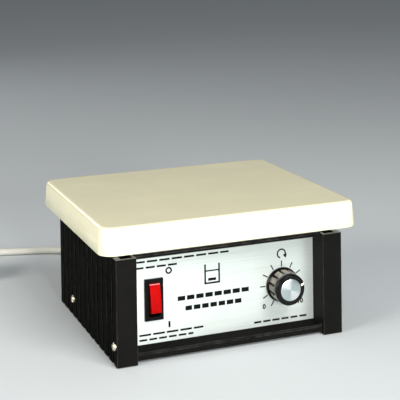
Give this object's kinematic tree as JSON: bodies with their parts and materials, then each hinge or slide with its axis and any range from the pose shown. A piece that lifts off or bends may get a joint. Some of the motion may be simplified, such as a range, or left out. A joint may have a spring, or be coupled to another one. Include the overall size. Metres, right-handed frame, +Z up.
{
  "type": "magnetic stirrer",
  "caption": "Bench-top magnetic stirrer: flat enamelled pan on a ribbed black case, speed knob, rocker switch, motor with drive magnets, mains lead and plug.",
  "frame": {"origin": "on the stirring axis, at the level of the bench under the rubber feet", "axes": "+X to the right of a person facing the control panel, +Y to the back, +Z up along the stirring axis"},
  "size_m": [0.2652, 0.317, 0.101],
  "materials": {
    "enamel": "glossy stove enamel",
    "black_satin": "satin black",
    "panel_aluminium": "fine horizontal brushing",
    "case_screw": "bright, slightly yellow",
    "zinc_steel": "zinc plated",
    "rubber": "matte",
    "switch_black": "semi-gloss",
    "rocker_red": "glossy",
    "knob_black": "semi-gloss phenolic",
    "spun_aluminium": "spun",
    "pointer_white": "matte",
    "brass": "bright",
    "lamp_neon": "clear glass with an orange glow",
    "lamination_steel": "stacked laminations",
    "copper": "enamelled copper",
    "die_cast": "as cast",
    "ferrite": "dark ceramic",
    "white_plastic": "matte",
    "board_resin": "phenolic resin board",
    "component_mix": "mixed electronic parts",
    "heatsink_black": "black anodised",
    "wire_pvc": "coloured wire covers",
    "lead_pvc": "light grey flexible plastic"
  },
  "bodies": {
    "case": {"top_pan": "enamel", "pan_studs": "zinc_steel", "pan_spacers": "rubber", "pan_nuts": "zinc_steel", "left_cheek": "black_satin", "right_cheek": "black_satin", "corner_blocks": "zinc_steel", "cheek_screws": "case_screw", "base_plate": "zinc_steel", "motor_deck": "zinc_steel", "front_panel": "panel_aluminium", "rear_panel": "black_satin", "front_bottom_rail": "black_satin", "front_top_rail": "black_satin", "rear_bottom_rail": "black_satin", "rear_top_rail": "black_satin", "rail_screws": "zinc_steel", "rubber_feet": "rubber", "foot_screws": "zinc_steel", "foot_nuts": "zinc_steel", "switch_housing": "switch_black", "switch_terminals": "brass", "switch_lamp": "lamp_neon", "pot_case": "white_plastic", "pot_bush": "brass", "pot_nut": "zinc_steel", "pot_washer": "zinc_steel", "pot_tags": "brass", "motor_stator": "lamination_steel", "motor_coil": "copper", "shading_rings": "copper", "upper_bracket": "die_cast", "lower_bracket": "die_cast", "motor_bushes": "brass", "motor_bolts": "zinc_steel", "motor_grommets": "rubber", "control_board": "board_resin", "board_spacers": "white_plastic", "board_screws": "zinc_steel", "board_parts": "component_mix", "triac_heatsink": "heatsink_black", "terminal_block": "white_plastic", "internal_wiring": "wire_pvc", "mains_lead": "lead_pvc", "lead_gland": "switch_black", "plug_body": "lead_pvc", "plug_pins": "brass"},
    "knob": {"knob_body": "knob_black", "knob_cap": "spun_aluminium", "knob_pointer": "pointer_white", "knob_grub_screw": "zinc_steel", "pot_shaft": "zinc_steel"},
    "rocker": {"switch_rocker": "rocker_red"},
    "contact": {"switch_contact": "brass"},
    "drive": {"motor_rotor": "lamination_steel", "motor_shaft": "zinc_steel", "magnet_arm": "spun_aluminium", "drive_magnets": "ferrite", "arm_grub_screw": "zinc_steel", "cooling_fan": "white_plastic"}
  },
  "joints": [
    {"name": "knob_turn", "type": "hinge", "parent": "case", "child": "knob", "pos_m": [0.0474, -0.0625, 0.0374], "axis": [0, 1, 0], "range_deg": [-222, 78]},
    {"name": "rocker_tilt", "type": "hinge", "parent": "case", "child": "rocker", "pos_m": [-0.0557, -0.0575, 0.0398], "axis": [1, 0, 0], "range_deg": [0, 20]},
    {"name": "contact_tilt", "type": "hinge", "parent": "case", "child": "contact", "pos_m": [-0.0557, -0.0493, 0.0398], "axis": [1, 0, 0], "range_deg": [-12, 0]},
    {"name": "drive_spin", "type": "hinge", "parent": "case", "child": "drive", "pos_m": [0, 0, 0], "axis": [0, 0, 1], "continuous": true}
  ],
  "couplings": [
    {"joint": "contact_tilt", "follows": "rocker_tilt", "ratio": -0.6}
  ]
}
